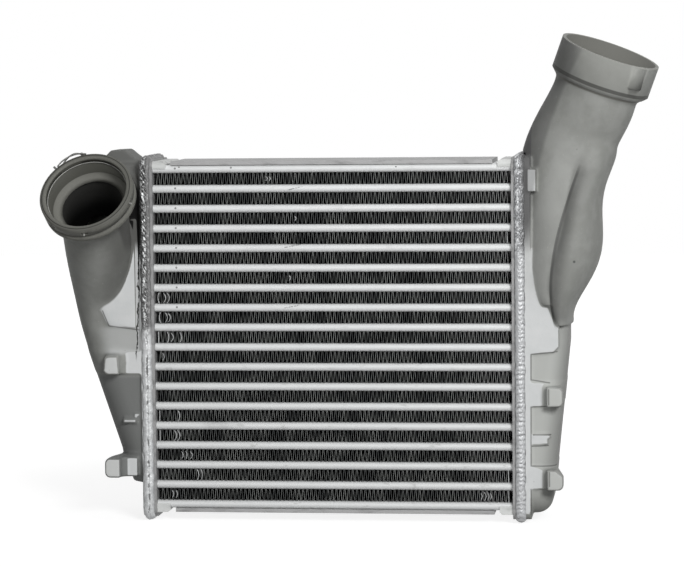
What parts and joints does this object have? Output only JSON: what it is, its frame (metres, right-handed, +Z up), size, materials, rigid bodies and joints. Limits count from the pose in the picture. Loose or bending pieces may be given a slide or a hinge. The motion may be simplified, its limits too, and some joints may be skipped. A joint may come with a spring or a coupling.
{
  "type": "intercooler",
  "caption": "Tube-and-fin charge air cooler with two cast end tanks: one with a clip socket facing forward, one with a raised outlet collar.",
  "frame": {"origin": "centre of the lower side plate's underside", "axes": "+X along the core's tubes towards the tank with the raised collar, +Y from the front face to the back, +Z up"},
  "size_m": [0.4707, 0.1521, 0.3793],
  "materials": {
    "core_tube": "satin brazed",
    "fin": "thin mill-finish strip",
    "side_plate": "satin",
    "header_plate": "satin",
    "weld": "as welded",
    "cast_tank": "sand cast, matt",
    "spring_wire": "bright wire"
  },
  "bodies": {
    "root": {"tube_01": "core_tube", "tube_02": "core_tube", "tube_03": "core_tube", "tube_04": "core_tube", "tube_05": "core_tube", "tube_06": "core_tube", "tube_07": "core_tube", "tube_08": "core_tube", "tube_09": "core_tube", "tube_10": "core_tube", "tube_11": "core_tube", "tube_12": "core_tube", "tube_13": "core_tube", "tube_14": "core_tube", "tube_15": "core_tube", "tube_16": "core_tube", "tube_17": "core_tube", "tube_18": "core_tube", "fin_row_01": "fin", "fin_row_02": "fin", "fin_row_03": "fin", "fin_row_04": "fin", "fin_row_05": "fin", "fin_row_06": "fin", "fin_row_07": "fin", "fin_row_08": "fin", "fin_row_09": "fin", "fin_row_10": "fin", "fin_row_11": "fin", "fin_row_12": "fin", "fin_row_13": "fin", "fin_row_14": "fin", "fin_row_15": "fin", "fin_row_16": "fin", "fin_row_17": "fin", "bottom_side_plate": "side_plate", "top_side_plate": "side_plate", "left_header_plate": "header_plate", "left_weld_bead": "weld", "top_left_corner_block": "side_plate", "bottom_left_corner_block": "side_plate", "right_header_plate": "header_plate", "right_weld_bead": "weld", "top_right_corner_block": "side_plate", "bottom_right_corner_block": "side_plate", "left_tank": "cast_tank", "right_tank": "cast_tank", "retaining_clip": "spring_wire"}
  },
  "joints": []
}
